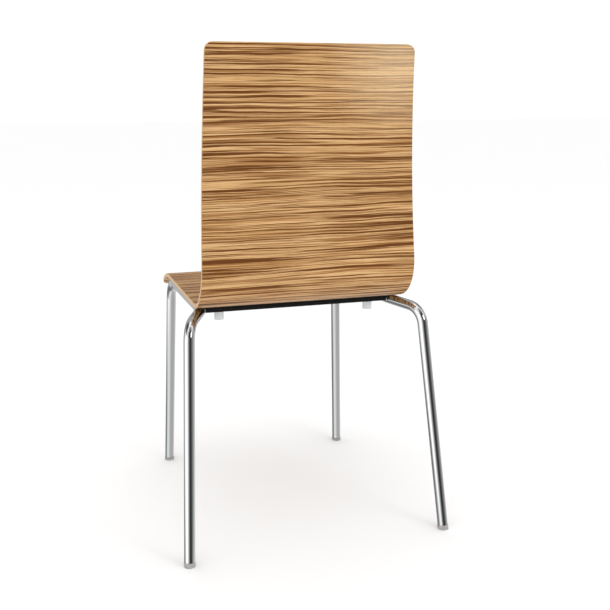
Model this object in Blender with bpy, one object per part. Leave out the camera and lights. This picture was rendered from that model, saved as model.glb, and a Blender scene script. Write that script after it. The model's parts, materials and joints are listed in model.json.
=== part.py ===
# Stacking chair: a moulded plywood shell on two bent tube side frames.
# Metres, +Z up. The sitter faces -Y, and +X is the sitter's left.
# The origin is on the floor, at the middle of the chair's width and depth.

from math import acos, asin, atan2, cos, pi, radians, sin, sqrt, tan

import bmesh
import bpy
from mathutils import Matrix, Vector

# Shell
SEAT_HEIGHT = 0.426           # floor to the flat top of the seat
SEAT_DEPTH = 0.447            # front lip to the lumbar face of the back
SEAT_WIDTH = 0.382
BACK_HEIGHT = 0.434           # seat top to the top edge of the back
BACK_TOP_WIDTH = 0.354
SHELL_THICKNESS = 0.008
LIP_RADIUS = 0.170            # roll at the front of the seat, on its top face
LIP_ANGLE = radians(35)
BEND_RADIUS = 0.071           # seat to back, on the sitter's side
LUMBAR_RISE = 0.204           # seat top to the foremost line of the back
BOW_RADIUS = 1.46             # the back curves rearwards above and below that line
TAPER_RISE = 0.024            # the back starts to narrow this far above the seat
TOP_CORNER_RADIUS = 0.013
FRONT_CORNER_RADIUS = 0.016

# Side frames
TUBE_RADIUS = 0.0095
TUBE_WALL = 0.0015
RAIL_INSET = 0.011            # seat's side edge in to the rail's centre line
FRONT_SETBACK = 0.0555        # front lip back to the front corner of the frame
FRONT_SPLAY = 0.0145          # the front foot stands this far outside its corner
FRONT_RAKE = 0.028            # and this far in front of it
FRONT_BEND_RADIUS = 0.045
FLARE_SETBACK = 0.0855        # lumbar face forward to where the rail turns outwards
FLARE_RADIUS = 0.045
RAIL_TAPER = 0.005            # how far the rails close in from the front corner to the flare
REAR_FLARE = 0.0315           # front of the rail out to the rear corner
REAR_CORNER_DROP = 0.007      # rail down to the rear corner
REAR_CORNER_SETBACK = 0.0015  # lumbar face forward to the rear corner
REAR_SPLAY = 0.0235           # rear corner out to the rear foot
REAR_RAKE = 0.068             # and back to it
REAR_BEND_RADIUS = 0.036

# Feet
FOOT_RIM = 0.0005             # how far the foot stands out past the tube
FOOT_SOLE = 0.0055            # floor up to the tube, at the middle of the foot
FOOT_PLUG = 0.014             # how far its plug reaches into the tube
FOOT_EDGE = 0.001

# Cross bars: steel channels, open side down
BAR_DEPTH = 0.050
BAR_HEIGHT = 0.0117
BAR_WALL = 0.002
BAR_BEND = 0.003              # outer radius of the channel's folds
FRONT_BAR_SETBACK = 0.132     # front lip back to the front bar's centre line
REAR_BAR_SETBACK = 0.093      # lumbar face forward to the rear bar's centre line
BAR_LAP = 0.0045              # the bar's coped end reaches this far over the tube's side

# Fixings between the shell and the bars
SCREW_INSET = 0.085           # rail's centre line in to a shell screw
SCREW_RADIUS = 0.0024
SCREW_HEAD_RADIUS = 0.0047
SCREW_HEAD_HEIGHT = 0.0029
SOCKET_ACROSS = 0.003
SOCKET_DEPTH = 0.0016
WASHER_RADIUS = 0.006
WASHER_THICKNESS = 0.001
INSERT_RADIUS = 0.0042
POCKET_ROOF = 0.0018          # plywood left above the insert's blind pocket
POCKET_END_ROOM = 0.0004      # free end of the pocket, past the insert and the screw

# Stacking bumpers
BUMPER_INSET = 0.0385         # rail's centre line in to a bumper
BUMPER_RADIUS = 0.0085
BUMPER_HEIGHT = 0.0284
BUMPER_EDGE = 0.0015
BUMPER_FLOOR = 0.006          # what the bumper's screw clamps
BUMPER_SCREW_RADIUS = 0.002
BUMPER_HEAD_RADIUS = 0.0038
BUMPER_HEAD_HEIGHT = 0.0024
BUMPER_HEAD_ROOM = 0.0012     # counterbore wall round the screw's head

GAP = 0.0003                  # between pieces that touch or pass through each other

ROUND_STEPS = 24
SMALL_STEPS = 16
PIPE_RESOLUTION = 8
ROW_ROOM = 0.002              # rows of the shell's mesh stay this far from a rounded corner

# Derived places
seat_underside = SEAT_HEIGHT - SHELL_THICKNESS
half_width = SEAT_WIDTH / 2
rail_x = half_width - RAIL_INSET
rail_z = seat_underside - GAP - TUBE_RADIUS
screw_x = rail_x - SCREW_INSET
bumper_x = rail_x - BUMPER_INSET
foot_radius = TUBE_RADIUS + FOOT_RIM
overall_depth = SEAT_DEPTH - REAR_CORNER_SETBACK + REAR_RAKE + foot_radius
lip_y = -overall_depth / 2
lumbar_y = lip_y + SEAT_DEPTH
front_bar_y = lip_y + FRONT_BAR_SETBACK
rear_bar_y = lumbar_y - REAR_BAR_SETBACK
bar_top = seat_underside - GAP
web_underside = bar_top - BAR_WALL
pocket_depth = SHELL_THICKNESS - POCKET_ROOF
insert_length = pocket_depth - GAP - POCKET_END_ROOM


def clear_scene():
    for thing in list(bpy.data.objects):
        bpy.data.objects.remove(thing, do_unlink=True)


def material(name, colour, roughness, metallic=0.0):
    made = bpy.data.materials.new(name)
    made.use_nodes = True
    shader = made.node_tree.nodes["Principled BSDF"]
    shader.inputs["Base Color"].default_value = (*colour, 1.0)
    shader.inputs["Roughness"].default_value = roughness
    shader.inputs["Metallic"].default_value = metallic
    return made


def add_object(name, mesh, finish=None, place=(0, 0, 0), parent=None):
    made = bpy.data.objects.new(name, mesh)
    bpy.context.scene.collection.objects.link(made)
    made.location = place
    made.parent = parent
    if finish:
        mesh.materials.clear()
        mesh.materials.append(finish)
    return made


def mesh_from(name, bm, smooth=True):
    bmesh.ops.recalc_face_normals(bm, faces=bm.faces)
    mesh = bpy.data.meshes.new(name)
    bm.to_mesh(mesh)
    bm.free()
    if smooth:
        mesh.shade_smooth()
        mesh.set_sharp_from_angle(angle=radians(35))
    return mesh


def cut(target, cutter):
    cutter.hide_render = True
    cutter.display_type = "WIRE"
    modifier = target.modifiers.new("cut " + cutter.name, "BOOLEAN")
    modifier.operation = "DIFFERENCE"
    modifier.solver = "EXACT"
    modifier.object = cutter


def lathe(outline, steps):
    """Turns an outline of (radius, height) points round Z. It starts and ends on the axis, or is a ring."""
    bm = bmesh.new()
    points = [bm.verts.new((radius, 0, height)) for radius, height in outline]
    on_axis = outline[0][0] == 0 and outline[-1][0] == 0
    pairs = list(zip(points[:-1], points[1:]))
    if not on_axis:
        pairs.append((points[-1], points[0]))
    edges = [bm.edges.new(pair) for pair in pairs]
    around = {"cent": (0, 0, 0), "axis": (0, 0, 1), "angle": 2 * pi}
    bmesh.ops.spin(bm, geom=points + edges, steps=steps, use_merge=True, **around)
    bmesh.ops.remove_doubles(bm, verts=bm.verts, dist=1e-6)
    return bm


def rod(radius, low, high, steps):
    bm = bmesh.new()
    middle = Matrix.Translation((0, 0, (low + high) / 2))
    size = {"radius1": radius, "radius2": radius, "depth": high - low}
    bmesh.ops.create_cone(bm, cap_ends=True, segments=steps, matrix=middle, **size)
    return bm


# The shell's side view is a chain of stretches, each with a length and a function that gives
# the point (y, z) at a distance along it.
def line_stretch(start, end):
    start, end = Vector(start), Vector(end)
    length = (end - start).length
    return length, lambda along: start.lerp(end, along / length)


def arc_stretch(centre, radius, begin, sweep):
    centre = Vector(centre)

    def at(along):
        angle = begin + sweep * along / length
        return centre + radius * Vector((cos(angle), sin(angle)))

    length = radius * abs(sweep)
    return length, at


def shell_side_view():
    lip_centre = Vector((lip_y + LIP_RADIUS * sin(LIP_ANGLE), SEAT_HEIGHT - LIP_RADIUS))
    bow_centre = Vector((lumbar_y + BOW_RADIUS, SEAT_HEIGHT + LUMBAR_RISE))
    bend_z = SEAT_HEIGHT + BEND_RADIUS
    rise = bow_centre.y - bend_z
    reach = sqrt((BOW_RADIUS + BEND_RADIUS) ** 2 - rise ** 2)
    bend_centre = Vector((bow_centre.x - reach, bend_z))
    meeting = atan2(rise, reach)
    top_angle = asin((BACK_HEIGHT - LUMBAR_RISE) / BOW_RADIUS)
    return [
        arc_stretch(lip_centre, LIP_RADIUS, pi / 2 + LIP_ANGLE, -LIP_ANGLE),
        line_stretch((lip_centre.x, SEAT_HEIGHT), (bend_centre.x, SEAT_HEIGHT)),
        arc_stretch(bend_centre, BEND_RADIUS, -pi / 2, pi / 2 + meeting),
        arc_stretch(bow_centre, BOW_RADIUS, pi + meeting, -meeting - top_angle),
    ]


def shell_rows():
    """Distances along the side view where the shell has a row of vertices."""
    rows = set()
    total = 0
    for (length, at), steps in zip(shell_side_view(), (6, 3, 12, 10)):
        rows |= {total + length * step / steps for step in range(steps)}
        total += length
    corner = [1 - cos(radians(15 * step)) for step in range(7)]
    front = {FRONT_CORNER_RADIUS * share for share in corner}
    top = {total - TOP_CORNER_RADIUS * share for share in corner}
    rows = {row for row in rows if max(front) + ROW_ROOM < row < min(top) - ROW_ROOM}
    return sorted(rows | front | top), total


def shell_point(along):
    for length, at in shell_side_view():
        if along <= length + 1e-9:
            return at(along)
        along -= length
    return at(length)


def corner_inset(radius, distance):
    """How far a rounded corner draws the side edge in, at this distance from the end of the sheet."""
    short = max(radius - distance, 0)
    return radius - sqrt(radius ** 2 - short ** 2)


def shell_half_width(along, total, height):
    taper = max(height - SEAT_HEIGHT - TAPER_RISE, 0) / (BACK_HEIGHT - TAPER_RISE)
    width = half_width - (half_width - BACK_TOP_WIDTH / 2) * taper
    return width - corner_inset(FRONT_CORNER_RADIUS, along) - corner_inset(TOP_CORNER_RADIUS, total - along)


def seat_shell(finish, parent):
    bm = bmesh.new()
    rows, total = shell_rows()
    last = None
    for along in rows:
        y, z = shell_point(along)
        width = shell_half_width(along, total, z)
        row = [bm.verts.new((x, y, z)) for x in (-width, width)]
        if last:
            bm.faces.new((last[0], last[1], row[1], row[0]))
        last = row
    mesh = bpy.data.meshes.new("seat_shell")
    bm.to_mesh(mesh)
    bm.free()
    shell = add_object("seat_shell", mesh, finish, parent=parent)
    thickness = shell.modifiers.new("thickness", "SOLIDIFY")
    thickness.thickness = SHELL_THICKNESS
    thickness.offset = -1
    thickness.use_even_offset = True
    for x, y in shell_screw_places():
        pocket = rod(INSERT_RADIUS + GAP, -pocket_depth, pocket_depth, SMALL_STEPS)
        cutter = add_object("insert pocket", mesh_from("insert pocket", pocket), parent=parent)
        cutter.location = (x, y, seat_underside)
        cut(shell, cutter)
    return shell


# Side frames: the centre line runs down the rear leg from the floor, along the rail and down the front leg.
def frame_corners(side):
    rear_corner_x = rail_x + REAR_FLARE
    rear_corner_y = lumbar_y - REAR_CORNER_SETBACK
    front_corner_y = lip_y + FRONT_SETBACK
    corners = [
        (rear_corner_x + REAR_SPLAY, rear_corner_y + REAR_RAKE, 0),
        (rear_corner_x, rear_corner_y, rail_z - REAR_CORNER_DROP),
        (rail_x - RAIL_TAPER, lumbar_y - FLARE_SETBACK, rail_z),
        (rail_x, front_corner_y, rail_z),
        (rail_x + FRONT_SPLAY, front_corner_y - FRONT_RAKE, 0),
    ]
    return [Vector((side * x, y, z)) for x, y, z in corners]


def leg_end(floor_point, corner):
    """Where the tube stops: above the sole of the foot, measured along the leg."""
    up = (corner - floor_point).normalized()
    sole_top = FOOT_SOLE + GAP + TUBE_RADIUS * tan(acos(up.z))
    return floor_point + up * sole_top


def rounded_path(corners, radii, step=radians(12)):
    """A chain of straight runs, with an arc of the given radius at each inner corner."""
    path = [corners[0]]
    for before, corner, after, radius in zip(corners[:-2], corners[1:-1], corners[2:], radii):
        back = (before - corner).normalized()
        ahead = (after - corner).normalized()
        turn = pi - back.angle(ahead)
        setback = radius * tan(turn / 2)
        middle = (back + ahead).normalized()
        centre = corner + middle * radius / cos(turn / 2)
        start = corner + back * setback - centre
        axis = start.cross(corner + ahead * setback - centre).normalized()
        steps = max(2, round(turn / step))
        path += [centre + Matrix.Rotation(turn * n / steps, 3, axis) @ start for n in range(steps + 1)]
    return path + [corners[-1]]


def frame_path(side):
    corners = frame_corners(side)
    corners[0] = leg_end(corners[0], corners[1])
    corners[-1] = leg_end(corners[-1], corners[-2])
    return rounded_path(corners, (REAR_BEND_RADIUS, FLARE_RADIUS, FRONT_BEND_RADIUS))


def pipe_mesh(name, path, radius, caps):
    curve = bpy.data.curves.new(name, "CURVE")
    curve.dimensions = "3D"
    spline = curve.splines.new("POLY")
    spline.points.add(len(path) - 1)
    for point, place in zip(spline.points, path):
        point.co = (*place, 1.0)
    curve.bevel_depth = radius
    curve.bevel_resolution = PIPE_RESOLUTION
    curve.use_fill_caps = caps
    guide = bpy.data.objects.new(name, curve)
    mesh = bpy.data.meshes.new_from_object(guide)
    bpy.data.objects.remove(guide)
    bpy.data.curves.remove(curve)
    mesh.name = name
    return mesh


def side_frame(name, side, finish, parent):
    bm = bmesh.new()
    bm.from_mesh(pipe_mesh(name, frame_path(side), TUBE_RADIUS, caps=False))
    frame = add_object(name, mesh_from(name, bm), finish, parent=parent)
    wall = frame.modifiers.new("wall", "SOLIDIFY")
    wall.thickness = TUBE_WALL
    wall.offset = -1
    return frame


def foot(name, floor_point, corner, finish, parent):
    """A plug in the tube's end, with a cap under the tube and a sole cut level with the floor."""
    bore = TUBE_RADIUS - TUBE_WALL - GAP
    tilt = acos((corner - floor_point).normalized().z)
    seat = FOOT_SOLE + TUBE_RADIUS * tan(tilt)
    below = -foot_radius * tan(tilt) - FOOT_SOLE
    outline = [
        (0, below),
        (foot_radius, below),
        (foot_radius, seat - FOOT_EDGE / 2),
        (foot_radius - FOOT_EDGE / 2, seat),
        (bore, seat),
        (bore, seat + FOOT_PLUG - 2 * FOOT_EDGE),
        (bore - 2 * FOOT_EDGE, seat + FOOT_PLUG),
        (0, seat + FOOT_PLUG),
    ]
    bm = lathe(outline, ROUND_STEPS)
    lean = (corner - floor_point).to_track_quat("Z", "Y").to_matrix().to_4x4()
    bmesh.ops.transform(bm, matrix=lean, verts=bm.verts)
    whole = bm.verts[:] + bm.edges[:] + bm.faces[:]
    level = bmesh.ops.bisect_plane(bm, geom=whole, plane_co=(0, 0, 0), plane_no=(0, 0, 1), clear_inner=True)
    rim = [part for part in level["geom_cut"] if isinstance(part, bmesh.types.BMEdge)]
    sole = bmesh.ops.contextual_create(bm, geom=rim)["faces"]
    bmesh.ops.bevel(
        bm, geom=sole[0].edges[:], offset=FOOT_EDGE, segments=2, profile=0.5, affect="EDGES", material=-1
    )
    return add_object(name, mesh_from(name, bm), finish, floor_point, parent)


# Cross bars
def shell_screw_places():
    return [(side * screw_x, y) for y in (front_bar_y, rear_bar_y) for side in (-1, 1)]


def bar_section():
    """The channel's section as (y, z) from the middle of its top face, before its folds are rounded."""
    outer, inner = BAR_DEPTH / 2, BAR_DEPTH / 2 - BAR_WALL
    return [
        (-outer, 0), (outer, 0), (outer, -BAR_HEIGHT), (inner, -BAR_HEIGHT),
        (inner, -BAR_WALL), (-inner, -BAR_WALL), (-inner, -BAR_HEIGHT), (-outer, -BAR_HEIGHT),
    ]


def rail_centre(y):
    """How far out the rail's centre line is, between its front corner and the flare."""
    front_y, flare_y = lip_y + FRONT_SETBACK, lumbar_y - FLARE_SETBACK
    return rail_x - RAIL_TAPER * (y - front_y) / (flare_y - front_y)


def cross_bar(name, y, tube_cutters, finish, parent):
    end = rail_centre(y) - TUBE_RADIUS + BAR_LAP
    bm = bmesh.new()
    section = bm.faces.new([bm.verts.new((-end, *point)) for point in bar_section()])
    folds = [section.verts[n] for n in (0, 1)]
    roots = [section.verts[n] for n in (4, 5)]
    bmesh.ops.bevel(bm, geom=folds, offset=BAR_BEND, segments=3, profile=0.5, affect="VERTICES", material=-1)
    bmesh.ops.bevel(
        bm, geom=roots, offset=BAR_BEND - BAR_WALL, segments=2, profile=0.5, affect="VERTICES", material=-1
    )
    run = bmesh.ops.extrude_face_region(bm, geom=bm.faces[:], use_keep_orig=True)["geom"]
    far = [part for part in run if isinstance(part, bmesh.types.BMVert)]
    bmesh.ops.translate(bm, vec=(2 * end, 0, 0), verts=far)
    bar = add_object(name, mesh_from(name, bm, smooth=False), finish, (0, y, bar_top), parent)
    for cutter in tube_cutters:
        cut(bar, cutter)
    for spread, radius in ((screw_x, SCREW_RADIUS), (bumper_x, BUMPER_SCREW_RADIUS)):
        for side in (-1, 1):
            hole = rod(radius + GAP, -BAR_HEIGHT, BAR_HEIGHT, SMALL_STEPS)
            cutter = add_object("bar hole", mesh_from("bar hole", hole), parent=parent)
            cutter.location = (side * spread, y, bar_top)
            cut(bar, cutter)
    return bar


def screw_mesh(name, radius, length, head_radius, head_height):
    """A pan-head screw pointing up, from the underside of its head at z = 0."""
    crown = head_height * 0.45
    outline = [
        (0, -head_height),
        (head_radius * 0.6, -head_height),
        (head_radius * 0.9, -head_height + crown * 0.4),
        (head_radius, -head_height + crown),
        (head_radius, 0),
        (radius, 0),
        (radius, length - radius / 2),
        (radius / 2, length),
        (0, length),
    ]
    return mesh_from(name, lathe(outline, SMALL_STEPS))


def socket_cutter(name, head_height, place, parent):
    """A hexagon socket in the bottom of the head."""
    bm = bmesh.new()
    middle = Matrix.Translation((0, 0, -head_height))
    radius = SOCKET_ACROSS / sqrt(3)
    size = {"radius1": radius, "radius2": radius, "depth": 2 * SOCKET_DEPTH}
    bmesh.ops.create_cone(bm, cap_ends=True, segments=6, matrix=middle, **size)
    return add_object(name, mesh_from(name, bm, smooth=False), place=place, parent=parent)


def ring(inner, outer, low, high):
    return lathe([(inner, low), (outer, low), (outer, high), (inner, high)], SMALL_STEPS)


def shell_fixing(where, x, y, steel, parent):
    """The threaded insert in the shell, and the washer and screw under the bar that hold it."""
    insert = ring(SCREW_RADIUS + GAP, INSERT_RADIUS, 0, insert_length)
    add_object(where + "_insert", mesh_from("insert", insert), steel, (x, y, seat_underside + GAP), parent)
    washer_top = web_underside - GAP
    washer = ring(SCREW_RADIUS + GAP, WASHER_RADIUS, -WASHER_THICKNESS, 0)
    add_object(where + "_washer", mesh_from("washer", washer), steel, (x, y, washer_top), parent)
    head_seat = washer_top - WASHER_THICKNESS - GAP
    length = seat_underside + GAP + insert_length - head_seat
    mesh = screw_mesh("screw", SCREW_RADIUS, length, SCREW_HEAD_RADIUS, SCREW_HEAD_HEIGHT)
    screw = add_object(where + "_screw", mesh, steel, (x, y, head_seat), parent)
    cut(screw, socket_cutter("socket", SCREW_HEAD_HEIGHT, (x, y, head_seat), parent))


def bumper(where, x, y, plastic, steel, parent):
    """A stacking bumper under the bar, with the screw that holds it sunk in its bore."""
    top = web_underside - GAP
    bore = BUMPER_SCREW_RADIUS + GAP
    room = BUMPER_HEAD_RADIUS + BUMPER_HEAD_ROOM
    slope = BUMPER_EDGE * (1 - sqrt(0.5))
    outline = [
        (bore, 0),
        (bore, -BUMPER_FLOOR),
        (room, -BUMPER_FLOOR),
        (room, -BUMPER_HEIGHT),
        (BUMPER_RADIUS - BUMPER_EDGE, -BUMPER_HEIGHT),
        (BUMPER_RADIUS - slope, -BUMPER_HEIGHT + slope),
        (BUMPER_RADIUS, -BUMPER_HEIGHT + BUMPER_EDGE),
        (BUMPER_RADIUS, 0),
    ]
    body = mesh_from("bumper", lathe(outline, ROUND_STEPS))
    add_object(where + "_bumper", body, plastic, (x, y, top), parent)
    head_seat = top - BUMPER_FLOOR - GAP
    length = bar_top - GAP - head_seat
    mesh = screw_mesh("bumper screw", BUMPER_SCREW_RADIUS, length, BUMPER_HEAD_RADIUS, BUMPER_HEAD_HEIGHT)
    screw = add_object(where + "_bumper_screw", mesh, steel, (x, y, head_seat), parent)
    cut(screw, socket_cutter("bumper socket", BUMPER_HEAD_HEIGHT, (x, y, head_seat), parent))


def build_chair():
    clear_scene()
    chair = bpy.data.objects.new("chair", None)
    bpy.context.scene.collection.objects.link(chair)
    veneer = material("zebrano veneer", (0.62, 0.40, 0.20), 0.42)
    chrome = material("chrome plate", (0.80, 0.80, 0.82), 0.08, 1.0)
    black = material("black powder coat", (0.02, 0.02, 0.022), 0.5)
    grey = material("grey nylon", (0.42, 0.42, 0.43), 0.45)
    milky = material("milky plastic", (0.85, 0.86, 0.86), 0.3)
    zinc = material("zinc-plated steel", (0.62, 0.62, 0.60), 0.32, 1.0)

    seat_shell(veneer, chair)
    tube_cutters = []
    for word, side in (("left", 1), ("right", -1)):
        side_frame(word + "_side_frame", side, chrome, chair)
        corners = frame_corners(side)
        foot("rear_" + word + "_foot", corners[0], corners[1], grey, chair)
        foot("front_" + word + "_foot", corners[-1], corners[-2], grey, chair)
        clearance = pipe_mesh(word + " cope", frame_path(side), TUBE_RADIUS + GAP, caps=True)
        tube_cutters.append(add_object(word + " cope", clearance, parent=chair))

    for word, y in (("front", front_bar_y), ("rear", rear_bar_y)):
        cross_bar(word + "_cross_bar", y, tube_cutters, black, chair)
        for name, side in (("left", 1), ("right", -1)):
            shell_fixing(word + "_" + name, side * screw_x, y, zinc, chair)
            bumper(word + "_" + name, side * bumper_x, y, milky, zinc, chair)


build_chair()
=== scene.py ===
import json
from math import acos, asin, atan2, cos, pi, radians, sin, sqrt, tan

import bmesh
import bpy
from mathutils import Matrix, Vector


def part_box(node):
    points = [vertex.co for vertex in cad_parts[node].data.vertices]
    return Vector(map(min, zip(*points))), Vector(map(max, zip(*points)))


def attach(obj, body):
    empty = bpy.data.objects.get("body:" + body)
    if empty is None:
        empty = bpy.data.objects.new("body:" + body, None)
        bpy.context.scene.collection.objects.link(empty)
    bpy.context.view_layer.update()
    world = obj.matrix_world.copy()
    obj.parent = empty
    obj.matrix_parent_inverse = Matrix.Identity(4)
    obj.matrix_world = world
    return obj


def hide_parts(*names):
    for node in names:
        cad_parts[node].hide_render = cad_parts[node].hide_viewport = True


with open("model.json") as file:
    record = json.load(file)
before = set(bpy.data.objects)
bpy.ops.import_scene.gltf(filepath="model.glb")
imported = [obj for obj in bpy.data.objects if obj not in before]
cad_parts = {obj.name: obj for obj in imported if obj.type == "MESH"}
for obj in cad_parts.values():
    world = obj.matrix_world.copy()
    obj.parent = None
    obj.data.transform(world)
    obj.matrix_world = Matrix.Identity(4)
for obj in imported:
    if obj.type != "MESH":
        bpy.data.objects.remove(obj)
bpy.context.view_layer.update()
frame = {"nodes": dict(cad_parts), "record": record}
mountPlace = {mount["name"]: Vector(mount["pos_m"]) for mount in frame["record"]["mounts"]}
print("frame:", len(frame["nodes"]), "CAD nodes")


def linear(hexColour):
    # sRGB hex to the linear values that shaders use
    channels = [int(hexColour[n:n + 2], 16) / 255 for n in (1, 3, 5)]
    return [c / 12.92 if c < 0.04045 else ((c + 0.055) / 1.055) ** 2.4 for c in channels] + [1.0]


def addNode(tree, kind, sockets=None, **settings):
    # sockets holds a value or another node's output for each input, settings are the node's own
    node = tree.nodes.new(kind)
    for name, value in settings.items():
        setattr(node, name, value)
    for socket, value in (sockets or {}).items():
        if isinstance(value, bpy.types.NodeSocket):
            tree.links.new(value, node.inputs[socket])
        else:
            node.inputs[socket].default_value = value
    return node


def newMaterial(name):
    made = bpy.data.materials.new(name)
    made.use_nodes = True
    return made, made.node_tree, made.node_tree.nodes["Principled BSDF"]


def finishPiece(name, bm, materials, nodes=(), sharpAngle=35):
    mesh = bpy.data.meshes.new(name)
    bm.to_mesh(mesh)
    bm.free()
    for finish in materials:
        mesh.materials.append(finish)
    mesh.shade_smooth()
    mesh.set_sharp_from_angle(angle=radians(sharpAngle))
    piece = bpy.data.objects.new(name, mesh)
    bpy.context.scene.collection.objects.link(piece)
    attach(piece, "root")
    if nodes:
        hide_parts(*nodes)
    return piece


def turned(outline, steps):
    # spins (radius, height) points round Z; an outline that starts and ends on the axis closes there
    bm = bmesh.new()
    points = [bm.verts.new((radius, 0, height)) for radius, height in outline]
    pairs = list(zip(points[:-1], points[1:]))
    if outline[0][0] or outline[-1][0]:
        pairs.append((points[-1], points[0]))
    edges = [bm.edges.new(pair) for pair in pairs]
    bmesh.ops.spin(bm, geom=points + edges, cent=(0, 0, 0), axis=(0, 0, 1), angle=2 * pi,
                   steps=steps, use_merge=True)
    bmesh.ops.remove_doubles(bm, verts=bm.verts, dist=1e-6)
    bmesh.ops.recalc_face_normals(bm, faces=bm.faces)
    return bm


def roundedCorner(corner, before, after, radius, steps):
    # points of an arc that rounds one corner of an outline, in two or three dimensions
    back = (before - corner).normalized()
    ahead = (after - corner).normalized()
    turn = pi - back.angle(ahead)
    centre = corner + (back + ahead).normalized() * radius / cos(turn / 2)
    start = corner + back * radius * tan(turn / 2) - centre
    end = corner + ahead * radius * tan(turn / 2) - centre
    arc = []
    for n in range(steps + 1):
        fromStart = sin(turn * (1 - n / steps)) / sin(turn)
        fromEnd = sin(turn * n / steps) / sin(turn)
        arc.append(centre + start * fromStart + end * fromEnd)
    return arc


def roundedOutline(points, radii, steps):
    # a closed 2-D outline with its corners rounded, as (radius, height) pairs
    points = [Vector(point) for point in points]
    outline = []
    for n, (point, radius) in enumerate(zip(points, radii)):
        if radius:
            following = points[(n + 1) % len(points)]
            outline += roundedCorner(point, points[n - 1], following, radius, steps)
        else:
            outline.append(point)
    return [tuple(point) for point in outline]


# moulded plywood shell, seat and back in one sheet; all lengths are in metres
shell = {
    "thickness": 0.008,
    "seatDepth": 0.447,       # front lip to the lumbar face
    "lipRadius": 0.170,
    "lipAngle": radians(35),
    "bendRadius": 0.071,      # sitter's side of the bend between seat and back
    "lumbarRise": 0.204,      # seat to the most forward line of the back
    "bowRadius": 1.46,        # the back's slow curve
    "taperRise": 0.024,       # seat to where the back starts to narrow
    "backTopWidth": 0.354,
    "topCorner": 0.013,
    "frontCorner": 0.016,
    "arris": 0.0011,          # sanded edge
    "veneer": 0.0006,         # thickness of the face veneer
    "columns": 12,
    "cornerRoom": 0.004,      # flat left between a corner's rounding and the next row
    "lipRows": 0.006,         # spacing of the mesh rows in each stretch
    "seatRows": 0.03,
    "bendRows": 0.0035,
    "backRows": 0.015,
    "leafShift": 2,           # keeps the sitter's veneer from repeating the other face's
}

shellLow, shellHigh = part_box("seat_shell")
seatTop = mountPlace["seat_top"].z
lipY = shellLow.y
lumbarY = lipY + shell["seatDepth"]

lipCentre = Vector((lipY + shell["lipRadius"] * sin(shell["lipAngle"]), seatTop - shell["lipRadius"]))
bowCentre = Vector((lumbarY + shell["bowRadius"], seatTop + shell["lumbarRise"]))
bendZ = seatTop + shell["bendRadius"]
bendReach = sqrt((shell["bowRadius"] + shell["bendRadius"]) ** 2 - (bowCentre.y - bendZ) ** 2)
bendCentre = Vector((bowCentre.x - bendReach, bendZ))
meetingAngle = atan2(bowCentre.y - bendZ, bendReach)
topAngle = asin((shellHigh.z - bowCentre.y) / shell["bowRadius"])
lipLength = shell["lipRadius"] * shell["lipAngle"]
seatLength = bendCentre.x - lipCentre.x
bendLength = shell["bendRadius"] * (pi / 2 + meetingAngle)
bowLength = shell["bowRadius"] * (meetingAngle + topAngle)
shellLength = lipLength + seatLength + bendLength + bowLength


def shellPoint(along, depth=0.0):
    # (y, z) at a distance along the sitter's face and a depth below it
    if along < lipLength:
        angle = pi / 2 + (lipLength - along) / shell["lipRadius"]
        return lipCentre + (shell["lipRadius"] - depth) * Vector((cos(angle), sin(angle)))
    along -= lipLength
    if along < seatLength:
        return Vector((lipCentre.x + along, seatTop - depth))
    along -= seatLength
    if along < bendLength:
        angle = -pi / 2 + along / shell["bendRadius"]
        return bendCentre + (shell["bendRadius"] + depth) * Vector((cos(angle), sin(angle)))
    angle = pi + meetingAngle - (along - bendLength) / shell["bowRadius"]
    return bowCentre + (shell["bowRadius"] - depth) * Vector((cos(angle), sin(angle)))


def shellPlace(y, z):
    # the reverse: how far along the sheet a point is, and how deep in it
    point = Vector((y, z))
    if y < lipCentre.x:
        arm = point - lipCentre
        along = lipLength - (atan2(arm.y, arm.x) - pi / 2) * shell["lipRadius"]
        return along, shell["lipRadius"] - arm.length
    if y < bendCentre.x:
        return lipLength + y - lipCentre.x, seatTop - z
    arm = point - bendCentre
    angle = atan2(arm.y, arm.x)
    if angle < meetingAngle:
        along = lipLength + seatLength + (angle + pi / 2) * shell["bendRadius"]
        return along, arm.length - shell["bendRadius"]
    arm = point - bowCentre
    angle = atan2(arm.y, arm.x) % (2 * pi)
    along = lipLength + seatLength + bendLength + (pi + meetingAngle - angle) * shell["bowRadius"]
    return along, shell["bowRadius"] - arm.length


def shellHalfWidth(z):
    taperZ = seatTop + shell["taperRise"]
    taper = max(z - taperZ, 0) / (shellHigh.z - taperZ)
    return shellHigh.x - (shellHigh.x - shell["backTopWidth"] / 2) * taper


def spread(start, end, spacing):
    # even steps from start up to end, which the next stretch begins with
    count = max(1, round((end - start) / spacing))
    return [start + (end - start) * n / count for n in range(count)]


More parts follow.
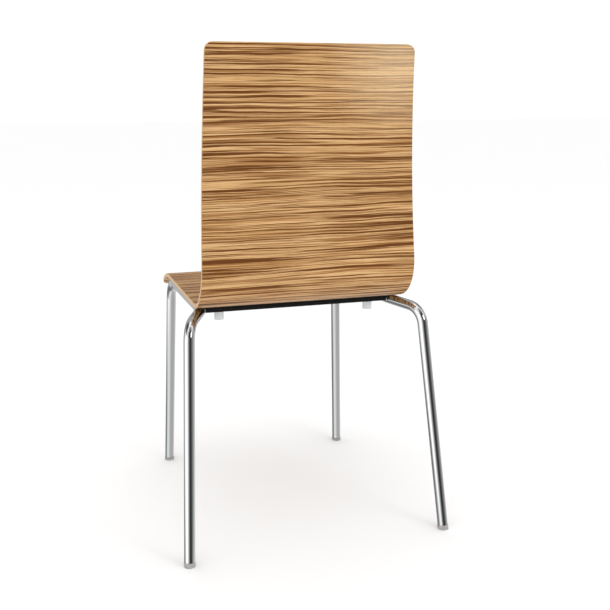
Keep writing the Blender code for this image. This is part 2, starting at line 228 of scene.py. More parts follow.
def makeShell(materials):
    bm = bmesh.new()
    alongLayer = bm.verts.layers.float.new("along")
    frontEnd = shell["frontCorner"] + shell["cornerRoom"]
    topEnd = shellLength - shell["topCorner"] - shell["cornerRoom"]
    bendStart = lipLength + seatLength
    backStart = bendStart + bendLength
    rows = [0.0]
    rows += spread(frontEnd, lipLength, shell["lipRows"])
    rows += spread(lipLength, bendStart, shell["seatRows"])
    rows += spread(bendStart, backStart, shell["bendRows"])
    rows += spread(backStart, topEnd, shell["backRows"])
    rows += [topEnd, shellLength]
    chain = []
    for along in rows:
        chain.append(bm.verts.new((-1, *shellPoint(along))))
        chain[-1][alongLayer] = along
    edges = [bm.edges.new(pair) for pair in zip(chain[:-1], chain[1:])]
    for column in range(shell["columns"]):
        grown = bmesh.ops.extrude_edge_only(bm, edges=edges)["geom"]
        edges = [part for part in grown if isinstance(part, bmesh.types.BMEdge)]
        fresh = [part for part in grown if isinstance(part, bmesh.types.BMVert)]
        bmesh.ops.translate(bm, verts=fresh, vec=(2 / shell["columns"], 0, 0))
        edges = [edge for edge in edges if all(vert in fresh for vert in edge.verts)]
    for vert in bm.verts:
        vert.co.x *= shellHalfWidth(vert.co.z)
    back = bmesh.ops.extrude_face_region(bm, geom=bm.faces[:], use_keep_orig=True)["geom"]
    for vert in [part for part in back if isinstance(part, bmesh.types.BMVert)]:
        vert.co.yz = shellPoint(vert[alongLayer], shell["thickness"])
    bmesh.ops.recalc_face_normals(bm, faces=bm.faces)
    for end, radius in ((0.0, shell["frontCorner"]), (shellLength, shell["topCorner"])):
        # the short edges through the sheet at its four corners
        corners = [edge for edge in bm.edges
                   if all(abs(vert[alongLayer] - end) < 1e-6 for vert in edge.verts)
                   and abs(edge.verts[0].co.x - edge.verts[1].co.x) < 1e-3
                   and edge.calc_face_angle() > radians(60)
                   and edge.calc_length() < shell["thickness"] * 1.1]
        bmesh.ops.bevel(bm, geom=corners, offset=radius, segments=8, profile=0.5,
                        affect="EDGES", material=-1)
    rim = [edge for edge in bm.edges if edge.calc_face_angle() > radians(60)]
    bmesh.ops.bevel(bm, geom=rim, offset=shell["arris"], segments=3, profile=0.5,
                    affect="EDGES", material=-1)
    veneerMap = bm.loops.layers.uv.new("veneer")     # metres across the chair and along the sheet
    plyMap = bm.loops.layers.uv.new("plies")         # metres along the sheet, share of its depth
    for face in bm.faces:
        _, centreDepth = shellPlace(*face.calc_center_median().yz)
        inside = shell["veneer"] < centreDepth < shell["thickness"] - shell["veneer"]
        face.material_index = 1 if inside else 0
        leaf = 0 if centreDepth > shell["thickness"] / 2 else shell["leafShift"]
        for loop in face.loops:
            along, depth = shellPlace(*loop.vert.co.yz)
            loop[veneerMap].uv = (loop.vert.co.x, along + leaf)
            loop[plyMap].uv = (along, depth / shell["thickness"])
    piece = finishPiece("seatShell", bm, materials, ["seat_shell"])
    even = piece.modifiers.new("face normals", "WEIGHTED_NORMAL")
    even.keep_sharp = True
    return piece


# bent tube side frames: front leg, rail and rear leg in one tube
sideFrame = {
    "tubeRadius": 0.0095,
    "wall": 0.0015,
    "railInset": 0.011,        # seat's side edge in to the rail's centre line, at its front
    "frontSetback": 0.0555,    # front lip back to the frame's front corner
    "frontBend": 0.045,        # radius of a bend, on the tube's centre line
    "flareSetback": 0.0855,    # lumbar face forward to where the rail turns out
    "flareBend": 0.045,
    "railTaper": 0.005,        # how far the rails close in towards the back
    "rearFlare": 0.0315,       # front of the rail out to the rear corner
    "rearDrop": 0.007,         # rail down to the rear corner
    "rearSetback": 0.0015,     # lumbar face forward to the rear corner
    "rearBend": 0.036,
    "endRoom": 0.002,          # tube's end above the sole, clear of a leaning cap's thicker side
    "ringSteps": 12,           # the tube has twice as many sides, and four more
}

railX = shellHigh.x - sideFrame["railInset"]
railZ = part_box("left_side_frame")[1].z - sideFrame["tubeRadius"]


def mirrored(point, side):
    return Vector((side * point[0], point[1], point[2]))


def frameCorners(side):
    # the tube's centre line before its bends are rounded, from the rear sole to the front one
    rearX = railX + sideFrame["rearFlare"]
    rearY = lumbarY - sideFrame["rearSetback"]
    corners = [
        mountPlace["rear_left_foot_sole"],
        (rearX, rearY, railZ - sideFrame["rearDrop"]),
        (railX - sideFrame["railTaper"], lumbarY - sideFrame["flareSetback"], railZ),
        (railX, lipY + sideFrame["frontSetback"], railZ),
        mountPlace["front_left_foot_sole"],
    ]
    return [mirrored(corner, side) for corner in corners]


def framePath(side, endRise):
    # the rounded centre line, with each end raised along its leg
    corners = frameCorners(side)
    corners[0] += (corners[1] - corners[0]).normalized() * endRise
    corners[-1] += (corners[-2] - corners[-1]).normalized() * endRise
    bends = (sideFrame["rearBend"], sideFrame["flareBend"], sideFrame["frontBend"])
    path = [corners[0]]
    for n, radius in enumerate(bends):
        before, corner, after = corners[n:n + 3]
        turn = pi - (before - corner).angle(after - corner)
        steps = max(6, round(turn / radians(3)))
        path += roundedCorner(corner, before, after, radius, steps)
    return path + [corners[-1]]


def pipeMesh(path, radius, ringSteps, caps=False, swell=None):
    # swell is each point's radius as a share of the pipe's
    curve = bpy.data.curves.new("pipe", "CURVE")
    curve.dimensions = "3D"
    spline = curve.splines.new("POLY")
    spline.points.add(len(path) - 1)
    for point, place in zip(spline.points, path):
        point.co = (*place, 1)
    for point, factor in zip(spline.points, swell or ()):
        point.radius = factor
    curve.bevel_depth = radius
    curve.bevel_resolution = ringSteps
    curve.use_fill_caps = caps
    guide = bpy.data.objects.new("pipe", curve)
    mesh = bpy.data.meshes.new_from_object(guide)
    bpy.data.objects.remove(guide)
    bpy.data.curves.remove(curve)
    return mesh


def makeSideFrame(word, side, chrome):
    path = framePath(side, foot["sole"] + sideFrame["endRoom"])
    bm = bmesh.new()
    bm.from_mesh(pipeMesh(path, sideFrame["tubeRadius"], sideFrame["ringSteps"]))
    bmesh.ops.recalc_face_normals(bm, faces=bm.faces)
    bmesh.ops.solidify(bm, geom=bm.faces[:], thickness=sideFrame["wall"])
    return finishPiece(word + "SideFrame", bm, [chrome], [word + "_side_frame"])


# plastic foot caps: a cap with a level sole, and a plug in the tube's bore
foot = {
    "rim": 0.0005,             # how far it stands out past the tube
    "gap": 0.0003,             # plug to the tube's bore
    "sole": 0.0055,            # floor up to the tube, at the middle of the foot
    "plug": 0.014,             # how far the plug reaches into the tube
    "rimRound": 0.0006,
    "soleRound": 0.0013,
    "plugRound": 0.0014,
}


def makeFoot(word, side, end, plastic):
    corners = frameCorners(side)
    ground, above = (corners[0], corners[1]) if end == "rear" else (corners[-1], corners[-2])
    lean = (above - ground).normalized()
    tilt = acos(lean.z)
    outer = sideFrame["tubeRadius"] + foot["rim"]
    bore = sideFrame["tubeRadius"] - sideFrame["wall"] - foot["gap"]
    seat = foot["sole"] + sideFrame["tubeRadius"] * tan(tilt)
    below = -outer * tan(tilt) - foot["sole"]
    tip = seat + foot["plug"]
    outline = [(0, below), (outer, below), (outer, seat), (bore, seat), (bore, tip), (0, tip)]
    outline = roundedOutline(outline, (0, 0, foot["rimRound"], 0, foot["plugRound"], 0), 4)
    bm = turned(outline, 48)
    leaning = lean.to_track_quat("Z", "Y").to_matrix().to_4x4()
    bmesh.ops.transform(bm, matrix=leaning, verts=bm.verts)
    whole = bm.verts[:] + bm.edges[:] + bm.faces[:]
    level = bmesh.ops.bisect_plane(bm, geom=whole, plane_co=(0, 0, 0), plane_no=(0, 0, 1),
                                   clear_inner=True)
    ring = [part for part in level["geom_cut"] if isinstance(part, bmesh.types.BMEdge)]
    sole = bmesh.ops.contextual_create(bm, geom=ring)["faces"][0]
    bmesh.ops.recalc_face_normals(bm, faces=bm.faces)
    bmesh.ops.bevel(bm, geom=sole.edges[:], offset=foot["soleRound"], segments=3, profile=0.5,
                    affect="EDGES", material=-1)
    bmesh.ops.translate(bm, verts=bm.verts, vec=ground)
    name = end + word.capitalize() + "Foot"
    return finishPiece(name, bm, [plastic], [end + "_" + word + "_foot"])


# folded sheet cross bars: channels that open downward, their ends cut round the tubes
bar = {
    "wall": 0.002,             # thickness of the sheet
    "fold": 0.003,             # outer radius of the folds
    "edge": 0.0003,            # rounding of the sheet's cut edges
    "gap": 0.0003,             # bar to a tube or a screw
    "shellScrewInset": 0.085,  # rail in to a shell screw
    "shellScrewRadius": 0.0024,
    "bumperInset": 0.0385,     # rail in to a bumper
    "bumperScrewRadius": 0.002,
    "drillLength": 0.012,
}


def evaluatedMesh(piece):
    bpy.context.view_layer.update()
    graph = bpy.context.evaluated_depsgraph_get()
    return bpy.data.meshes.new_from_object(piece.evaluated_get(graph))


def barSection(low, high):
    # the channel's section as (y, z): outer folds and inner roots are rounded
    fold, edge = bar["fold"], bar["edge"]
    root = fold - bar["wall"]
    insideLow, insideHigh = low.y + bar["wall"], high.y - bar["wall"]
    underWeb = high.z - bar["wall"]
    points = [
        (low.y, high.z), (high.y, high.z), (high.y, low.z), (insideHigh, low.z),
        (insideHigh, underWeb), (insideLow, underWeb), (insideLow, low.z), (low.y, low.z),
    ]
    return roundedOutline(points, (fold, fold, edge, edge, root, root, edge, edge), 5)


def makeBar(word, cutters, black):
    low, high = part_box(word + "_cross_bar")
    end = high.x
    bm = bmesh.new()
    section = bm.faces.new([bm.verts.new((-end, y, z)) for y, z in barSection(low, high)])
    run = bmesh.ops.extrude_face_region(bm, geom=[section], use_keep_orig=True)["geom"]
    far = [part for part in run if isinstance(part, bmesh.types.BMVert)]
    bmesh.ops.translate(bm, verts=far, vec=(2 * end, 0, 0))
    bmesh.ops.recalc_face_normals(bm, faces=bm.faces)
    draft = bpy.data.objects.new("draft bar", bpy.data.meshes.new("draft bar"))
    bm.to_mesh(draft.data)
    bm.free()
    bpy.context.scene.collection.objects.link(draft)
    holes = []
    for inset, radius in ((bar["shellScrewInset"], bar["shellScrewRadius"]),
                          (bar["bumperInset"], bar["bumperScrewRadius"])):
        for side in (-1, 1):
            place = Vector((side * (railX - inset), (low.y + high.y) / 2, high.z))
            drill = bmesh.new()
            size = radius + bar["gap"]
            bmesh.ops.create_cone(drill, cap_ends=True, segments=32, radius1=size, radius2=size,
                                  depth=bar["drillLength"], matrix=Matrix.Translation(place))
            holes.append(bpy.data.objects.new("drill", bpy.data.meshes.new("drill")))
            drill.to_mesh(holes[-1].data)
            drill.free()
            bpy.context.scene.collection.objects.link(holes[-1])
    for cutter in cutters + holes:
        step = draft.modifiers.new("cut", "BOOLEAN")
        step.operation = "DIFFERENCE"
        step.solver = "EXACT"
        step.object = cutter
    bm = bmesh.new()
    bm.from_mesh(evaluatedMesh(draft))
    bmesh.ops.remove_doubles(bm, verts=bm.verts, dist=1e-6)
    for scrap in [draft] + holes:
        bpy.data.objects.remove(scrap)
    return finishPiece(word + "CrossBar", bm, [black], [word + "_cross_bar"],
                       sharpAngle=30)


# weld beads that join the bars to the tubes
weld = {
    "radius": 0.0017,
    "ripple": 0.06,            # how far each ripple swells, as a share of the radius
    "pitch": 0.0022,           # one ripple of the weld pool
    "sink": 0.0004,            # how far a bead reaches into the tube and the bar
    "railBand": 0.012,         # the tube counts as rail down to here under the rail's height
}


def tubeCentreAt(y, side):
    path = framePath(side, foot["sole"])
    for first, second in zip(path[:-1], path[1:]):
        onRail = min(first.z, second.z) > railZ - weld["railBand"]
        if onRail and min(first.y, second.y) <= y <= max(first.y, second.y):
            return first.lerp(second, (y - first.y) / (second.y - first.y))


def beadPoint(y, z, side):
    # where the tube's inner side is, at this place along it and this height
    centre = tubeCentreAt(y, side)
    reach = sqrt(max(sideFrame["tubeRadius"] ** 2 - (z - centre.z) ** 2, 0))
    return Vector((centre.x - side * (reach + weld["sink"]), y, z))


def makeWeld(word, sideWord, side, black):
    # a bead up each flange of the channel, and one along under its web
    low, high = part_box(word + "_cross_bar")
    web = high.z - bar["wall"] - weld["sink"]
    runs = [
        (low.y, low.z + weld["radius"], low.y, web),
        (high.y, low.z + weld["radius"], high.y, web),
        (low.y + bar["wall"], web, high.y - bar["wall"], web),
    ]
    bm = bmesh.new()
    for startY, startZ, endY, endZ in runs:
        steps = 4 * round(max(endY - startY, endZ - startZ) / weld["pitch"])
        shares = [n / steps for n in range(steps + 1)]
        route = [beadPoint(startY + (endY - startY) * share, startZ + (endZ - startZ) * share, side)
                 for share in shares]
        swell = [1 + weld["ripple"] * sin(pi / 2 * n) for n in range(steps + 1)]
        bm.from_mesh(pipeMesh(route, weld["radius"], 4, caps=True, swell=swell))
    bmesh.ops.remove_doubles(bm, verts=bm.verts, dist=1e-6)
    bmesh.ops.recalc_face_normals(bm, faces=bm.faces)
    return finishPiece(word + sideWord.capitalize() + "Weld", bm, [black])


# stacking bumpers: thick cups that hang under the bars, each with a screw sunk in it
bumper = {
    "edge": 0.0015,            # rounding of the lower rim
    "innerEdge": 0.0006,       # roundings of the sunk bore
    "fineEdge": 0.0004,
    "floor": 0.006,            # plastic between the bar and the screw's head
    "screwRadius": 0.002,
    "headRadius": 0.0038,
    "headRoom": 0.0012,        # bore round the head
    "gap": 0.0003,             # bore round the shank
}


def makeBumper(end, word, plastic):
    node = end + "_" + word + "_bumper"
    low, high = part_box(node)
    radius = (high.x - low.x) / 2
    height = high.z - low.z
    bore = bumper["screwRadius"] + bumper["gap"]
    room = bumper["headRadius"] + bumper["headRoom"]
    outline = [
        (bore, 0), (bore, -bumper["floor"]), (room, -bumper["floor"]), (room, -height),
        (radius, -height), (radius, 0),
    ]
    inner, fine = bumper["innerEdge"], bumper["fineEdge"]
    outline = roundedOutline(outline, (0, fine, inner, inner, bumper["edge"], fine), 5)
    bm = turned(outline, 48)
    centre = (low + high) / 2
    bmesh.ops.translate(bm, verts=bm.verts, vec=(centre.x, centre.y, high.z))
    return finishPiece(end + word.capitalize() + "Bumper", bm, [plastic], [node])


# machine screws with a domed head and a hexagon socket, washers and threaded inserts
fixing = {
    "socketAcross": 0.003,     # between two flats of the hexagon
    "socketDepth": 0.0016,
    "flatShare": 0.45,         # flat middle of the head, as a share of its radius
    "domeShare": 0.45,         # domed part of the head, as a share of its height
    "headEdge": 0.0003,
    "threadStart": 0.0006,     # plain shank at each end of the thread
    "threadPitch": 0.0008,
    "threadDepth": 0.00022,
    "gap": 0.0003,             # a washer's or insert's bore to the screw
    "washerEdge": 0.0002,
    "insertEdge": 0.0003,
    "shellScrew": {"radius": 0.0024, "headRadius": 0.0047, "headHeight": 0.0029},
    "bumperScrew": {"radius": 0.002, "headRadius": 0.0038, "headHeight": 0.0024},
}


def makeScrew(name, node, size, zinc):
    low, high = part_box(node)
    height = high.z - low.z
    radius, headRadius, headHeight = size["radius"], size["headRadius"], size["headHeight"]
    shank = height - headHeight
    flat = headRadius * fixing["flatShare"]
    dome = headHeight * fixing["domeShare"]
    edge = fixing["headEdge"]
    outline = [(0, -headHeight), (flat, -headHeight)]
    for n in range(7):
        angle = pi / 2 * n / 6
        outline.append((flat + (headRadius - flat) * sin(angle), -headHeight + dome * (1 - cos(angle))))
    outline += [(headRadius, -edge), (headRadius - edge, 0), (radius, 0)]
    pitch, start = fixing["threadPitch"], fixing["threadStart"]
    root = radius - fixing["threadDepth"]
    for n in range(int((shank - 2 * start) / pitch)):
        crest = start + n * pitch
        outline += [(radius, crest), (root, crest + pitch * 0.45), (root, crest + pitch * 0.55)]
    outline += [(radius, shank - radius / 2), (radius / 2, shank), (0, shank)]
    bm = turned(outline, 32)
    middle = [face for face in bm.faces if face.calc_center_median().z < -headHeight + 1e-5]
    bmesh.ops.dissolve_faces(bm, faces=middle)
    # the head's flat middle is drawn in to a hexagon and pushed down as the socket
    socket = min(bm.faces, key=lambda face: face.calc_center_median().z)
    corner = fixing["socketAcross"] / sqrt(3)
    bmesh.ops.inset_region(bm, faces=[socket], thickness=flat - corner)
    for vert in socket.verts:
        fromFlat = atan2(vert.co.y, vert.co.x) % radians(60) - radians(30)
        vert.co.xy = vert.co.xy.normalized() * fixing["socketAcross"] / 2 / cos(fromFlat)
    pushed = bmesh.ops.extrude_face_region(bm, geom=[socket])["geom"]
    bottom = [part for part in pushed if isinstance(part, bmesh.types.BMVert)]
    bmesh.ops.translate(bm, verts=bottom, vec=(0, 0, fixing["socketDepth"]))
    if socket.is_valid:
        bmesh.ops.delete(bm, geom=[socket], context="FACES_ONLY")
    bmesh.ops.recalc_face_normals(bm, faces=bm.faces)
    centre = (low + high) / 2
    bmesh.ops.translate(bm, verts=bm.verts, vec=(centre.x, centre.y, low.z + headHeight))
    return finishPiece(name, bm, [zinc], [node])


def makeRing(name, node, inner, edge, zinc):
    low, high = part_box(node)
    outer = (high.x - low.x) / 2
    corners = [(inner, low.z), (outer, low.z), (outer, high.z), (inner, high.z)]
    bm = turned(roundedOutline(corners, (edge,) * 4, 3), 40)
    centre = (low + high) / 2
    bmesh.ops.translate(bm, verts=bm.verts, vec=(centre.x, centre.y, 0))
    return finishPiece(name, bm, [zinc], [node])


def objectNoise(tree, perMetre, detail):
    # noise through the piece's own space; perMetre is how many of its spots fit in a metre
    where = addNode(tree, "ShaderNodeTexCoord").outputs["Object"]
    return addNode(
        tree, "ShaderNodeTexNoise", {"Vector": where, "Scale": perMetre, "Detail": detail},
    ).outputs["Fac"]


def ranged(tree, value, low, high):
    # a value from 0 to 1, spread from low to high
    return addNode(
        tree, "ShaderNodeMapRange", {"Value": value, "To Min": low, "To Max": high},
    ).outputs[0]


def within(tree, value, low, high):
    # 0 below low, 1 above high
    return addNode(
        tree, "ShaderNodeMapRange", {"Value": value, "From Min": low, "From Max": high},
    ).outputs[0]


def blend(tree, amount, first, second):
    return addNode(
        tree, "ShaderNodeMix", {"Factor": amount, 6: first, 7: second}, data_type="RGBA",
    ).outputs[2]


def shaded(tree, colour, shade):
    return addNode(
        tree, "ShaderNodeVectorMath", {0: colour, "Scale": shade}, operation="SCALE",
    ).outputs[0]


def zebranoVeneer():
    # sliced zebrano under satin lacquer: straw ground, dark wavy lines along the grain, fine pores, and
    # a painted sheen in the back's upper corner
    made, tree, shader = newMaterial("zebrano veneer")
    look = {
        "ground": "#e5bc89",
        "groundDeep": "#d2a469",
        "line": "#8d5922",
        "darkLine": "#663603",
        # the colour of the painted sheen
        "pale": "#ecd0a8",
        # how often each pattern comes in a metre, along the grain and across it, and its size
        "wave": (3.2, 12, 1),        # slow drift of the lines: 310 x 83 mm
        "waveReach": 0.011,
        "ripple": (16, 60, 1),       # small waves on top of it: 62 x 17 mm
        "rippleReach": 0.0022,
        "bands": (1.1, 45, 1),       # where lines crowd together: 900 x 22 mm
        "broad": (2.2, 300, 1),      # dark lines: 450 x 3.3 mm
        "fine": (4, 640, 1),         # brown lines: 250 x 1.6 mm
        "hair": (7, 1100, 1),        # hairlines: 140 x 0.9 mm
        "tone": (1.4, 60, 1),        # shades of the ground: 700 x 17 mm
        "pores": (60, 2400, 1),      # 17 x 0.4 mm, twice as coarse as real ones so that they show
        "poreDepth": 0.0002,
        # a painted sheen: a paler patch in the back's upper corner that stands in for a glare of light
        # on the lacquer
        "paintedSheenPlace": (-0.15, shellLength - 0.03, 0),
        "paintedSheenReach": 0.13,
        "paintedSheenFull": 0.02,
    }
    place = addNode(tree, "ShaderNodeUVMap", uv_map="veneer").outputs["UV"]

    def grain(where, scale, detail, roughness=0.5):
        stretched = addNode(tree, "ShaderNodeMapping", {"Vector": where, "Scale": scale}).outputs[0]
        return addNode(
            tree, "ShaderNodeTexNoise",
            {"Vector": stretched, "Scale": 1.0, "Detail": detail, "Roughness": roughness},
            noise_dimensions="2D",
        ).outputs["Fac"]

    def scaled(value, factor, offset=0.0):
        return addNode(
            tree, "ShaderNodeMath", {0: value, 1: factor, 2: offset}, operation="MULTIPLY_ADD",
        ).outputs[0]

    wave = grain(place, look["wave"], 1.5)
    ripple = grain(place, look["ripple"], 2.0)
    shift = scaled(ripple, look["rippleReach"], scaled(wave, look["waveReach"], -look["waveReach"] / 2))
    offset = addNode(tree, "ShaderNodeCombineXYZ", {"Y": shift}).outputs[0]
    bent = addNode(tree, "ShaderNodeVectorMath", {0: place, 1: offset}, operation="ADD").outputs[0]
    bands = grain(bent, look["bands"], 1.0)
    pores = grain(bent, look["pores"], 1.0)

    def mask(value, weight, low, high):
        # 1 where the pattern is over the limit, which is met sooner where the lines crowd
        return addNode(
            tree, "ShaderNodeMapRange",
            {"Value": scaled(bands, weight, value), "From Min": low + weight / 2,
             "From Max": high + weight / 2},
            interpolation_type="SMOOTHSTEP",
        ).outputs[0]

    darkMask = mask(grain(bent, look["broad"], 2.5, 0.7), 0.12, 0.525, 0.575)
    lineMask = mask(grain(bent, look["fine"], 2.0, 0.6), 0.12, 0.49, 0.57)
    hairMask = mask(grain(bent, look["hair"], 1.0), 0.1, 0.5, 0.58)
    tone = grain(bent, look["tone"], 2.0)
    colour = blend(tree, tone, linear(look["ground"]), linear(look["groundDeep"]))
    colour = blend(tree, scaled(hairMask, 0.4), colour, linear(look["line"]))
    colour = blend(tree, scaled(lineMask, 0.8), colour, linear(look["line"]))
    colour = blend(tree, scaled(darkMask, 0.97), colour, linear(look["darkLine"]))
    # painted sheen: the colour is lightened towards the pale colour near the back's upper corner
    reach = addNode(
        tree, "ShaderNodeVectorMath", {0: place, 1: look["paintedSheenPlace"]}, operation="DISTANCE",
    ).outputs["Value"]
    paintedSheen = addNode(
        tree, "ShaderNodeMapRange",
        {"Value": reach, "From Min": look["paintedSheenReach"], "From Max": look["paintedSheenFull"], "To Max": 0.42},
    ).outputs[0]
    colour = blend(tree, paintedSheen, colour, linear(look["pale"]))
    poreDark = addNode(
        tree, "ShaderNodeMapRange",
        {"Value": pores, "From Min": 0.5, "From Max": 0.75, "To Min": 1.0, "To Max": 0.82},
    ).outputs[0]
    tree.links.new(shaded(tree, colour, poreDark), shader.inputs["Base Color"])
    tree.links.new(ranged(tree, darkMask, 0.36, 0.46), shader.inputs["Roughness"])
    bump = addNode(tree, "ShaderNodeBump",
                   {"Height": pores, "Strength": 0.12, "Distance": look["poreDepth"]})
    tree.links.new(bump.outputs[0], shader.inputs["Normal"])
    shader.inputs["IOR"].default_value = 1.5
    shader.inputs["Specular IOR Level"].default_value = 0.2
    shader.inputs["Coat Weight"].default_value = 0.04
    shader.inputs["Coat Roughness"].default_value = 0.25
    return made


def plywoodEdge():
    # beech plies seen end on: seven thin layers turned crosswise, so every other one is darker
    made, tree, shader = newMaterial("beech ply edge")
    place = addNode(tree, "ShaderNodeUVMap", uv_map="plies").outputs["UV"]
    depth = addNode(tree, "ShaderNodeSeparateXYZ", {0: place}).outputs["Y"]
    layers = addNode(tree, "ShaderNodeMath", {0: depth, 1: 7 * pi}, operation="MULTIPLY").outputs[0]
    layers = addNode(tree, "ShaderNodeMath", {0: layers}, operation="SINE").outputs[0]
    flecks = objectNoise(tree, 900, 2.0)     # cut vessels 1.1 mm across
    colour = blend(tree, within(tree, layers, -0.4, 0.4), linear("#e6c79c"), linear("#c69a68"))
    colour = shaded(tree, colour, ranged(tree, flecks, 0.85, 1.12))
    tree.links.new(colour, shader.inputs["Base Color"])
    shader.inputs["Roughness"].default_value = 0.5
    bump = addNode(tree, "ShaderNodeBump", {"Height": flecks, "Strength": 0.15, "Distance": 0.0002})
    tree.links.new(bump.outputs[0], shader.inputs["Normal"])
    return made


def chromePlate():
    # bright chrome on drawn tube: a mirror with very faint handling marks
    made, tree, shader = newMaterial("chrome plate")
    smears = objectNoise(tree, 35, 4.0)      # hand marks 29 mm across
    tree.links.new(ranged(tree, smears, 0.03, 0.09), shader.inputs["Roughness"])
    shader.inputs["Base Color"].default_value = linear("#c8c9ca")
    shader.inputs["Metallic"].default_value = 1.0
    return made


def blackPowderCoat():
    # semi-gloss polyester powder: an even black film with slight orange peel
    made, tree, shader = newMaterial("black powder coat")
    peel = objectNoise(tree, 700, 2.0)       # orange peel 1.4 mm across
    tree.links.new(ranged(tree, peel, 0.34, 0.46), shader.inputs["Roughness"])
    bump = addNode(tree, "ShaderNodeBump", {"Height": peel, "Strength": 0.2, "Distance": 0.0003})
    tree.links.new(bump.outputs[0], shader.inputs["Normal"])
    shader.inputs["Base Color"].default_value = linear("#0b0b0c")
    shader.inputs["Specular IOR Level"].default_value = 0.35
    return made


def mouldedPlastic(name, pale, deep, roughness, scatter):
    # moulded plastic with a fine spark-eroded skin, clouded a little inside
    made, tree, shader = newMaterial(name)
    cloud = objectNoise(tree, 160, 2.0)      # clouds 6 mm across
    tree.links.new(blend(tree, cloud, linear(pale), linear(deep)), shader.inputs["Base Color"])
    skin = objectNoise(tree, 2500, 1.0)      # 0.4 mm grains, coarser than the mould's so that they show
    bump = addNode(tree, "ShaderNodeBump", {"Height": skin, "Strength": 0.1, "Distance": 0.0001})
    tree.links.new(bump.outputs[0], shader.inputs["Normal"])
    shader.inputs["Roughness"].default_value = roughness
    shader.inputs["Subsurface Weight"].default_value = scatter
    shader.inputs["Subsurface Radius"].default_value = (0.004, 0.004, 0.004)
    return made


def zincPlate():
    # bright zinc plate on turned steel, with a faint passivated mottle
    made, tree, shader = newMaterial("zinc plate")
    mottle = objectNoise(tree, 400, 3.0)     # spots 2.5 mm across
    colour = blend(tree, mottle, linear("#c9cbc8"), linear("#b3b2a6"))
    tree.links.new(colour, shader.inputs["Base Color"])
    tree.links.new(ranged(tree, mottle, 0.22, 0.38), shader.inputs["Roughness"])
    shader.inputs["Metallic"].default_value = 1.0
    return made


veneer = zebranoVeneer()
plyEdge = plywoodEdge()
chrome = chromePlate()
black = blackPowderCoat()
footPlastic = mouldedPlastic("grey nylon", "#b3b0ae", "#9d9a99", 0.38, 0.4)
milkPlastic = mouldedPlastic("milky polythene", "#eef0f0", "#dfe2e3", 0.32, 0.7)
zinc = zincPlate()
print("materials made")

makeShell([veneer, plyEdge])
print("shell made")

sides = (("left", 1), ("right", -1))
cutters = []
for word, side in sides:
    makeSideFrame(word, side, chrome)
    for end in ("rear", "front"):
        makeFoot(word, side, end, footPlastic)
    # a thicker tube that cuts the bars' ends to its shape
    cope = pipeMesh(framePath(side, foot["sole"]), sideFrame["tubeRadius"] + bar["gap"],
                    sideFrame["ringSteps"], caps=True)
    cutters.append(bpy.data.objects.new("cope", cope))
    bpy.context.scene.collection.objects.link(cutters[-1])
print("side frames and feet made")

for end in ("front", "rear"):
    makeBar(end, cutters, black)
    for word, side in sides:
        title = end + word.capitalize()
        node = end + "_" + word
        makeWeld(end, word, side, black)
        makeBumper(end, word, milkPlastic)
        makeScrew(title + "BumperScrew", node + "_bumper_screw", fixing["bumperScrew"], zinc)
        makeScrew(title + "Screw", node + "_screw", fixing["shellScrew"], zinc)
        bore = fixing["shellScrew"]["radius"] + fixing["gap"]
        makeRing(title + "Washer", node + "_washer", bore, fixing["washerEdge"], zinc)
        makeRing(title + "Insert", node + "_insert", bore, fixing["insertEdge"], zinc)
for scrap in cutters:
    bpy.data.objects.remove(scrap)
print("bars, bumpers and fixings made")


# floor, lights, surroundings and camera
studio = {
    "floorSize": 40.0,
    "cameraPlace": (0.4564, 1.6496, 0.7640),
    "cameraYaw": radians(17.0),
    "cameraPitch": radians(12.53),
    "cameraRoll": radians(0.25),
    "lens": 53.46,
    "keyLight": {"place": (-1.6, 2.4, 2.0), "target": (0, 0.2, 0.6), "size": 1.0, "watts": 12},
    "topLight": {"place": (0.3, 0.4, 3.2), "target": (0, 0, 0.4), "size": 3.0, "watts": 8},
    "strength": 2.0,          # the levels below are shares of this
    "fill": 0.53,             # plain white surroundings
    "ceiling": 0.75,
    # what a reflection finds in each direction, in degrees from +X towards +Y: level, low and high up
    "walls": [
        (-180, 0.34), (-145, 0.45), (-122, 0.15), (-97, 0.13), (-84, 0.3), (-70, 0.3), (-56, 0.19),
        (-30, 0.38), (5, 0.95), (36, 0.95), (54, 0.5), (68, 0.25), (81, 0.09), (93, 0.025),
        (112, 0.025), (128, 0.08), (141, 0.14), (155, 0.2), (172, 0.3),
    ],
    "lowWalls": [
        (-180, 0.42), (-150, 0.5), (-110, 0.4), (-74, 0.36), (-56, 0.14), (-46, 0.12), (-24, 0.14),
        (-8, 0.25), (10, 0.5), (35, 0.64), (60, 0.52), (82, 0.39), (105, 0.32), (156, 0.32),
        (172, 0.36),
    ],
    "highWalls": [
        (-180, 0.3), (-158, 0.1), (-120, 0.3), (-60, 0.25), (-40, 0.04), (5, 0.04), (22, 0.6),
        (48, 0.6), (68, 0.03), (120, 0.03), (150, 0.6), (172, 0.5),
    ],
    # where one ring of walls gives way to the next, as the upward part of a direction
    "lowToLevel": (-0.34, -0.22),
    "levelToHigh": (0.4, 0.55),
    "highToCeiling": (0.955, 0.985),
}


def makeFloor():
    # matt white vinyl, worn a little unevenly
    made, tree, shader = newMaterial("pale studio floor")
    cloud = objectNoise(tree, 3, 2.0)        # patches 330 mm across
    tree.links.new(ranged(tree, cloud, 0.7, 0.8), shader.inputs["Roughness"])
    shader.inputs["Base Color"].default_value = linear("#fbfbfb")
    shader.inputs["Specular IOR Level"].default_value = 0.2
    bm = bmesh.new()
    bmesh.ops.create_grid(bm, x_segments=1, y_segments=1, size=studio["floorSize"])
    mesh = bpy.data.meshes.new("floor")
    bm.to_mesh(mesh)
    bm.free()
    mesh.materials.append(made)
    floor = bpy.data.objects.new("floor", mesh)
    bpy.context.scene.collection.objects.link(floor)
    floor.visible_glossy = False


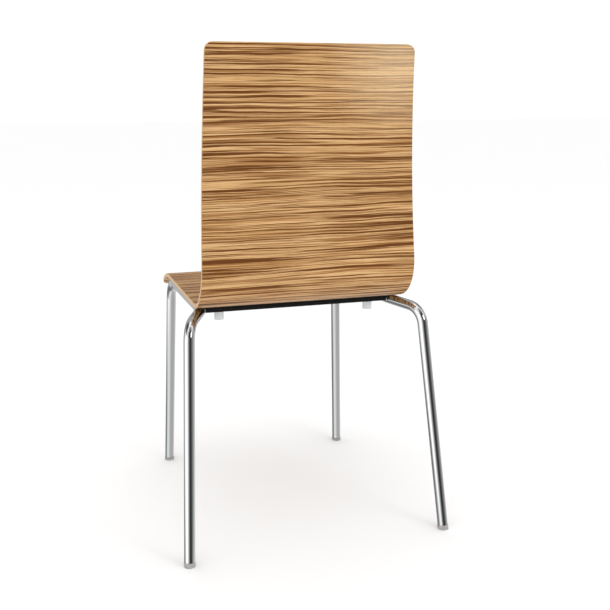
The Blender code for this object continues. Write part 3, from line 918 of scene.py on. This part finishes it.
def makeLight(name):
    values = studio[name]
    place = Vector(values["place"])
    lamp = bpy.data.lights.new(name, "AREA")
    lamp.shape = "SQUARE"
    lamp.size = values["size"]
    lamp.energy = values["watts"]
    made = bpy.data.objects.new(name, lamp)
    made.location = place
    made.rotation_euler = (Vector(values["target"]) - place).to_track_quat("-Z", "Y").to_euler()
    made.visible_camera = False
    bpy.context.scene.collection.objects.link(made)


def makeWorld():
    # a white studio; only reflections see its darker walls
    world = bpy.data.worlds.new("studio")
    bpy.context.scene.world = world
    world.use_nodes = True
    tree = world.node_tree
    background = tree.nodes["Background"]
    where = addNode(tree, "ShaderNodeTexCoord").outputs["Generated"]
    axes = addNode(tree, "ShaderNodeSeparateXYZ", {0: where})
    turn = addNode(
        tree, "ShaderNodeMath", {0: axes.outputs["Y"], 1: axes.outputs["X"]}, operation="ARCTAN2",
    ).outputs[0]
    share = within(tree, turn, -pi, pi)

    def plain(level):
        return (level, level, level, 1)

    def wall(stops):
        ramp = addNode(tree, "ShaderNodeValToRGB", {"Fac": share})
        while len(ramp.color_ramp.elements) < len(stops):
            ramp.color_ramp.elements.new(0.5)
        for element, (degrees, level) in zip(ramp.color_ramp.elements, stops):
            element.position = (degrees + 180) / 360
            element.color = plain(level)
        return ramp.outputs["Color"]

    room = wall(studio["lowWalls"])
    for limits, above in (("lowToLevel", wall(studio["walls"])),
                          ("levelToHigh", wall(studio["highWalls"])),
                          ("highToCeiling", plain(studio["ceiling"]))):
        room = blend(tree, within(tree, axes.outputs["Z"], *studio[limits]), room, above)
    glossy = addNode(tree, "ShaderNodeLightPath").outputs["Is Glossy Ray"]
    colour = blend(tree, glossy, plain(studio["fill"]), room)
    tree.links.new(colour, background.inputs["Color"])
    background.inputs["Strength"].default_value = studio["strength"]


def makeCamera():
    yaw, pitch = studio["cameraYaw"], studio["cameraPitch"]
    look = Vector((-sin(yaw) * cos(pitch), -cos(yaw) * cos(pitch), -sin(pitch)))
    camera = bpy.data.objects.new("camera", bpy.data.cameras.new("camera"))
    bpy.context.scene.collection.objects.link(camera)
    camera.data.lens = studio["lens"]
    camera.location = studio["cameraPlace"]
    camera.rotation_mode = "QUATERNION"
    roll = Matrix.Rotation(studio["cameraRoll"], 3, look).to_quaternion()
    camera.rotation_quaternion = roll @ look.to_track_quat("-Z", "Y")
    bpy.context.scene.camera = camera


makeFloor()
makeWorld()
makeLight("keyLight")
makeLight("topLight")
makeCamera()
bpy.context.scene.view_settings.view_transform = "Standard"
print("studio made")

bpy.context.view_layer.update()
